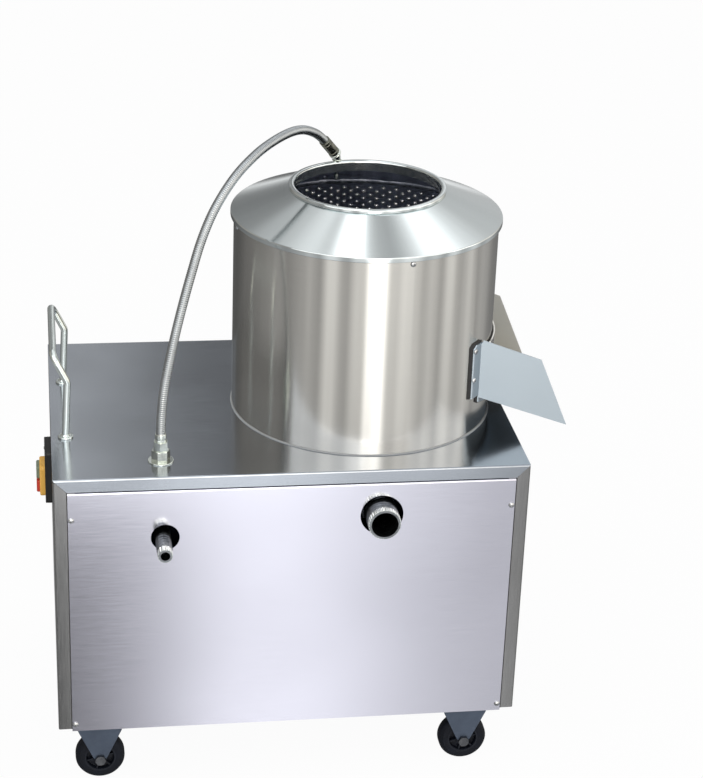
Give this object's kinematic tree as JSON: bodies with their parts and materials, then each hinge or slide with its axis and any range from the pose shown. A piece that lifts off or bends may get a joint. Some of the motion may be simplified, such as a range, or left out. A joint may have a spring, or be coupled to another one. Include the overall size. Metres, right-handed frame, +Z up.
{
  "type": "electric potato peeler",
  "caption": "Wheeled steel cabinet with an open peeling drum on top, a side discharge chute with a hinged door, a water hose to the rim and a push handle.",
  "frame": {"origin": "centre of the machine's footprint box, on the floor under the wheels", "axes": "+X from the switch side to the discharge chute, +Y from the front with the pipe stubs to the back, +Z up"},
  "size_m": [0.8064, 0.572, 0.9587],
  "materials": {
    "panel_steel": "brushed stainless steel",
    "side_steel": "brushed stainless steel",
    "top_steel": "brushed stainless steel",
    "drum_steel": "brushed stainless steel",
    "inner_steel": "pressed stainless steel",
    "chute_steel": "smooth stainless steel",
    "tube_steel": "polished tube",
    "fitting_steel": "turned and plated",
    "hose_steel": "corrugated stainless hose",
    "sleeve_steel": "dark crimped sleeve",
    "sealant": "grey sealant",
    "black_rubber": "matt black rubber",
    "dark_steel": "dark coated steel",
    "frame_steel": "galvanised steel",
    "bolt_steel": "zinc plated",
    "wheel_black": "moulded hub",
    "tyre_rubber": "hard black tread",
    "switch_black": "black moulding",
    "bezel_yellow": "yellow moulding",
    "button_green": "grey-green cap",
    "button_red": "red cap",
    "abrasive_grey": "coarse bonded grit",
    "machined_steel": "machined steel",
    "cast_iron": "painted casting",
    "motor_blue": "blue-grey enamel",
    "fan_plastic": "moulded fan"
  },
  "bodies": {
    "cabinet": {"base_pan": "frame_steel", "corner_posts": "frame_steel", "support_rails": "frame_steel", "top_plate": "top_steel", "left_side_panel": "side_steel", "right_side_panel": "side_steel", "front_panel": "panel_steel", "back_panel": "panel_steel", "cable_gland": "switch_black", "dome_screws": "tube_steel", "barrel_shell": "drum_steel", "barrel_bead": "sealant", "drum_liner": "inner_steel", "waste_basin": "inner_steel", "hood": "drum_steel", "feed_collar": "drum_steel", "chute": "chute_steel", "chute_gasket": "black_rubber", "hinge_leaf": "chute_steel", "hinge_pin": "chute_steel", "spray_nozzle": "fitting_steel", "hose_sleeve": "sleeve_steel", "water_hose": "hose_steel", "hose_fitting": "fitting_steel", "riser_pipe": "fitting_steel", "inlet_pipe": "fitting_steel", "drain_pipe": "fitting_steel", "motor_housing": "motor_blue", "motor_fan_cowl": "motor_blue", "terminal_box": "motor_blue", "motor_bracket": "frame_steel", "bearing_housing": "cast_iron", "bearings": "machined_steel", "shaft_seal": "black_rubber", "v_belt": "black_rubber", "switch_box": "switch_black", "switch_bezel": "bezel_yellow", "push_handle": "tube_steel", "caster_forks": "dark_steel", "caster_axles": "bolt_steel"},
    "disc": {"main_shaft": "machined_steel", "abrasive_disc": "abrasive_grey", "disc_cap": "machined_steel", "driven_pulley": "cast_iron"},
    "rotor": {"motor_shaft": "machined_steel", "motor_pulley": "cast_iron", "motor_fan": "fan_plastic"},
    "door": {"discharge_door": "chute_steel", "door_gasket": "black_rubber"},
    "latch": {"latch_lever": "dark_steel"},
    "start_button": {"start_button": "button_green"},
    "stop_button": {"stop_button": "button_red"},
    "front_left_wheel": {"wheel_hub_front_left": "wheel_black", "tyre_front_left": "tyre_rubber"},
    "front_right_wheel": {"wheel_hub_front_right": "wheel_black", "tyre_front_right": "tyre_rubber"},
    "rear_left_wheel": {"wheel_hub_rear_left": "wheel_black", "tyre_rear_left": "tyre_rubber"},
    "rear_right_wheel": {"wheel_hub_rear_right": "wheel_black", "tyre_rear_right": "tyre_rubber"}
  },
  "joints": [
    {"name": "disc_spin", "type": "hinge", "parent": "cabinet", "child": "disc", "pos_m": [0.09981, 0.012, 0.5], "axis": [0, 0, 1], "continuous": true},
    {"name": "motor_spin", "type": "hinge", "parent": "cabinet", "child": "rotor", "pos_m": [-0.1902, 0.054, 0.3], "axis": [0, 0, 1], "continuous": true},
    {"name": "door_swing", "type": "hinge", "parent": "cabinet", "child": "door", "pos_m": [0.27239, 0.12809, 0.618], "axis": [0, 0, 1], "range_deg": [0, 80]},
    {"name": "latch_turn", "type": "hinge", "parent": "door", "child": "latch", "pos_m": [0.29266, -0.06592, 0.618], "axis": [0.9272, -0.3746, 0], "range_deg": [0, 45]},
    {"name": "start_press", "type": "slide", "parent": "cabinet", "child": "start_button", "axis": [1, 0, 0], "range_m": [0, 0.003], "stiffness_N_per_m": 600},
    {"name": "stop_press", "type": "slide", "parent": "cabinet", "child": "stop_button", "axis": [1, 0, 0], "range_m": [0, 0.003], "stiffness_N_per_m": 600},
    {"name": "front_left_roll", "type": "hinge", "parent": "cabinet", "child": "front_left_wheel", "pos_m": [-0.3182, -0.206, 0.0375], "axis": [0, 1, 0], "continuous": true},
    {"name": "front_right_roll", "type": "hinge", "parent": "cabinet", "child": "front_right_wheel", "pos_m": [0.2478, -0.206, 0.0375], "axis": [0, 1, 0], "continuous": true},
    {"name": "rear_left_roll", "type": "hinge", "parent": "cabinet", "child": "rear_left_wheel", "pos_m": [-0.3182, 0.234, 0.0375], "axis": [0, 1, 0], "continuous": true},
    {"name": "rear_right_roll", "type": "hinge", "parent": "cabinet", "child": "rear_right_wheel", "pos_m": [0.2478, 0.234, 0.0375], "axis": [0, 1, 0], "continuous": true}
  ],
  "couplings": [
    {"joint": "motor_spin", "follows": "disc_spin", "ratio": 4}
  ]
}
